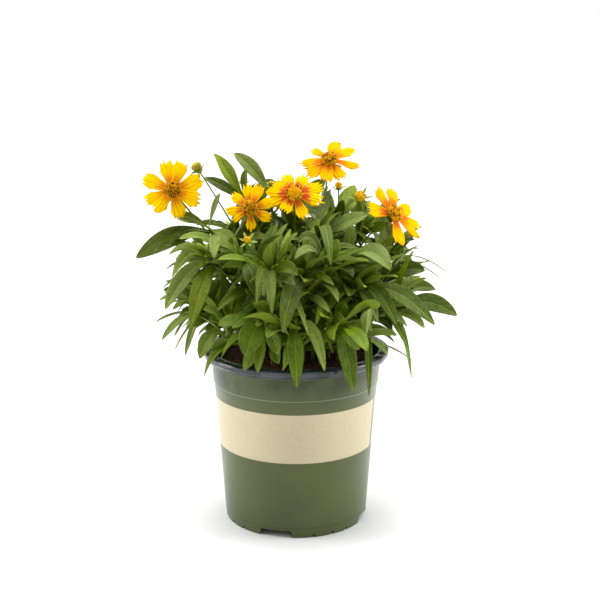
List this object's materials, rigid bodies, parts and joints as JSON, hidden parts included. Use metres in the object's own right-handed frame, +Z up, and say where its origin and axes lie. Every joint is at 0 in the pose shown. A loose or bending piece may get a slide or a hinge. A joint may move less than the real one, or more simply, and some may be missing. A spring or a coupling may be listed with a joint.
{
  "type": "potted coreopsis",
  "caption": "Coreopsis plant with yellow toothed ray flowers, buds and lance-shaped leaves, growing in a tapered round nursery pot filled with soil.",
  "frame": {"origin": "on the pot's axis, at the level its foot stands on", "axes": "+Z up along the pot's axis, -Y towards the front of the plant, +X to the right as seen from the front"},
  "size_m": [0.286, 0.222, 0.3385],
  "materials": {
    "pot": "satin olive green plastic, with a bare cream band round it and a dark rim",
    "soil": "coarse dark brown potting bark, matt",
    "foliage": "matt mid-green leaves with lighter midribs, on yellow-green stems",
    "ray_florets": "matt golden yellow, red-orange at the base",
    "disc_florets": "matt golden brown",
    "bud_head": "matt yellow-green, tinged with brown"
  },
  "bodies": {
    "root": {"pot": "pot", "soil": "soil", "stem_left_upper": "foliage", "stem_left_front": "foliage", "stem_left_low": "foliage", "stem_left_rim": "foliage", "stem_front_mid": "foliage", "stem_front_star": "foliage", "stem_front_left": "foliage", "stem_front_low": "foliage", "stem_front_rim": "foliage", "stem_front_right": "foliage", "stem_top_front": "foliage", "stem_right_upper": "foliage", "stem_right_front": "foliage", "stem_right_rim": "foliage", "stem_right_low": "foliage", "stem_right_out": "foliage", "stem_right_mid": "foliage", "stem_right_back": "foliage", "stem_top_left": "foliage", "stem_top_right": "foliage", "stem_left_back": "foliage", "stem_left_far": "foliage", "stem_back_left": "foliage", "stem_back_mid": "foliage", "stem_back_right": "foliage", "stem_right_far": "foliage", "stem_left_inner": "foliage", "stem_back_inner": "foliage", "stem_right_inner": "foliage", "stem_back_low": "foliage", "stem_back_rim": "foliage", "stem_flower_1": "foliage", "stem_flower_2": "foliage", "stem_flower_3": "foliage", "stem_flower_4": "foliage", "stem_flower_5": "foliage", "stem_bud_1": "foliage", "stem_bud_3": "foliage", "stem_bud_6": "foliage", "rays_flower_1": "ray_florets", "rays_flower_2": "ray_florets", "rays_flower_3": "ray_florets", "rays_flower_4": "ray_florets", "rays_flower_5": "ray_florets", "disc_flower_1": "disc_florets", "disc_flower_2": "disc_florets", "disc_flower_3": "disc_florets", "disc_flower_4": "disc_florets", "disc_flower_5": "disc_florets", "bud_1": "bud_head", "bud_2": "bud_head", "bud_3": "bud_head", "bud_4": "bud_head", "bud_5": "bud_head", "bud_6": "bud_head"}
  },
  "joints": []
}
